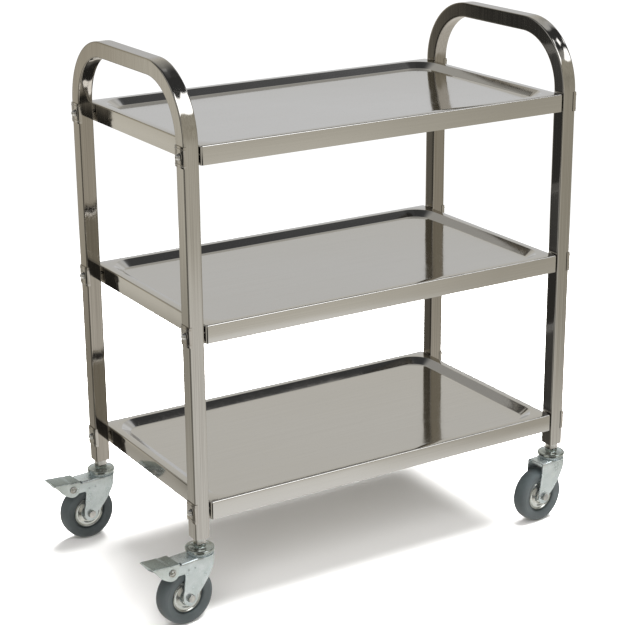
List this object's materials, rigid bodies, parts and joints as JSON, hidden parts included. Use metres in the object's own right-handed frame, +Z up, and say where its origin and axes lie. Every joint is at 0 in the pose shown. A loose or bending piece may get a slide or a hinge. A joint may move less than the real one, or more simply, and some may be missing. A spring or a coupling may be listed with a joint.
{
  "type": "food service trolley",
  "caption": "Three-shelf steel service trolley: bent square-tube end frames with handles, pressed tray shelves, swivel casters, braked at one end.",
  "frame": {"origin": "on the floor, under the middle of the whole object's bounding box as it stands with its casters trailing towards -X", "axes": "+Z up; +X along the trolley's length, the braked casters are at -X; -Y is the front long side"},
  "size_m": [0.8746, 0.4438, 0.9268],
  "materials": {
    "tube_steel": "polished stainless square tube with a faint lengthwise grain",
    "shelf_steel": "bright-rolled stainless sheet, soft mirror reflections",
    "saddle_steel": "pressed stainless plate",
    "bolt_steel": "polished dome head",
    "socket_steel": "plain steel insert",
    "caster_zinc": "bright zinc plate, slightly blue, satin",
    "hub_zinc": "bright zinc-plated pressing",
    "pedal_zinc": "bright zinc plate",
    "axle_steel": "zinc-plated bolts, rivets and brake parts",
    "tyre_rubber": "matt dark grey rubber"
  },
  "bodies": {
    "trolley_frame": {"end_frame_left": "tube_steel", "end_frame_right": "tube_steel", "shelf_bottom": "shelf_steel", "shelf_middle": "shelf_steel", "shelf_top": "shelf_steel", "saddle_bottom_front_left": "saddle_steel", "shelf_bolt_bottom_front_left": "bolt_steel", "saddle_bottom_rear_left": "saddle_steel", "shelf_bolt_bottom_rear_left": "bolt_steel", "saddle_bottom_front_right": "saddle_steel", "shelf_bolt_bottom_front_right": "bolt_steel", "saddle_bottom_rear_right": "saddle_steel", "shelf_bolt_bottom_rear_right": "bolt_steel", "saddle_middle_front_left": "saddle_steel", "shelf_bolt_middle_front_left": "bolt_steel", "saddle_middle_rear_left": "saddle_steel", "shelf_bolt_middle_rear_left": "bolt_steel", "saddle_middle_front_right": "saddle_steel", "shelf_bolt_middle_front_right": "bolt_steel", "saddle_middle_rear_right": "saddle_steel", "shelf_bolt_middle_rear_right": "bolt_steel", "saddle_top_front_left": "saddle_steel", "shelf_bolt_top_front_left": "bolt_steel", "saddle_top_rear_left": "saddle_steel", "shelf_bolt_top_rear_left": "bolt_steel", "saddle_top_front_right": "saddle_steel", "shelf_bolt_top_front_right": "bolt_steel", "saddle_top_rear_right": "saddle_steel", "shelf_bolt_top_rear_right": "bolt_steel", "leg_socket_front_left": "socket_steel", "caster_head_front_left": "caster_zinc", "leg_socket_rear_left": "socket_steel", "caster_head_rear_left": "caster_zinc", "leg_socket_front_right": "socket_steel", "caster_head_front_right": "caster_zinc", "leg_socket_rear_right": "socket_steel", "caster_head_rear_right": "caster_zinc"},
    "fork_front_left": {"caster_fork_front_left": "caster_zinc", "axle_bolt_front_left": "axle_steel", "brake_pin_front_left": "axle_steel"},
    "wheel_front_left": {"wheel_hub_front_left": "hub_zinc", "tyre_front_left": "tyre_rubber"},
    "pedal_front_left": {"brake_pedal_front_left": "pedal_zinc", "brake_shoe_front_left": "axle_steel"},
    "fork_rear_left": {"caster_fork_rear_left": "caster_zinc", "axle_bolt_rear_left": "axle_steel", "brake_pin_rear_left": "axle_steel"},
    "wheel_rear_left": {"wheel_hub_rear_left": "hub_zinc", "tyre_rear_left": "tyre_rubber"},
    "pedal_rear_left": {"brake_pedal_rear_left": "pedal_zinc", "brake_shoe_rear_left": "axle_steel"},
    "fork_front_right": {"caster_fork_front_right": "caster_zinc", "axle_bolt_front_right": "axle_steel"},
    "wheel_front_right": {"wheel_hub_front_right": "hub_zinc", "tyre_front_right": "tyre_rubber"},
    "fork_rear_right": {"caster_fork_rear_right": "caster_zinc", "axle_bolt_rear_right": "axle_steel"},
    "wheel_rear_right": {"wheel_hub_rear_right": "hub_zinc", "tyre_rear_right": "tyre_rubber"}
  },
  "joints": [
    {"name": "swivel_front_left", "type": "hinge", "parent": "trolley_frame", "child": "fork_front_left", "pos_m": [-0.3302, -0.18808, 0.119], "axis": [0, 0, 1], "continuous": true},
    {"name": "wheel_spin_front_left", "type": "hinge", "parent": "fork_front_left", "child": "wheel_front_left", "pos_m": [-0.36395, -0.19222, 0.05], "axis": [0.1219, -0.9925, 0], "continuous": true},
    {"name": "brake_front_left", "type": "hinge", "parent": "fork_front_left", "child": "pedal_front_left", "pos_m": [-0.39868, -0.19649, 0.107], "axis": [0.1219, -0.9925, 0], "range_deg": [0, 22]},
    {"name": "swivel_rear_left", "type": "hinge", "parent": "trolley_frame", "child": "fork_rear_left", "pos_m": [-0.3302, 0.19692, 0.119], "axis": [0, 0, 1], "continuous": true},
    {"name": "wheel_spin_rear_left", "type": "hinge", "parent": "fork_rear_left", "child": "wheel_rear_left", "pos_m": [-0.36412, 0.19455, 0.05], "axis": [0.0698, -0.9976, 0], "continuous": true},
    {"name": "brake_rear_left", "type": "hinge", "parent": "fork_rear_left", "child": "pedal_rear_left", "pos_m": [-0.39903, 0.19211, 0.107], "axis": [0.0698, -0.9976, 0], "range_deg": [0, 22]},
    {"name": "swivel_front_right", "type": "hinge", "parent": "trolley_frame", "child": "fork_front_right", "pos_m": [0.4123, -0.18808, 0.119], "axis": [0, 0, 1], "continuous": true},
    {"name": "wheel_spin_front_right", "type": "hinge", "parent": "fork_front_right", "child": "wheel_front_right", "pos_m": [0.37855, -0.19222, 0.05], "axis": [0.1219, -0.9925, 0], "continuous": true},
    {"name": "swivel_rear_right", "type": "hinge", "parent": "trolley_frame", "child": "fork_rear_right", "pos_m": [0.4123, 0.19692, 0.119], "axis": [0, 0, 1], "continuous": true},
    {"name": "wheel_spin_rear_right", "type": "hinge", "parent": "fork_rear_right", "child": "wheel_rear_right", "pos_m": [0.37835, 0.19514, 0.05], "axis": [0.0523, -0.9986, 0], "continuous": true}
  ]
}
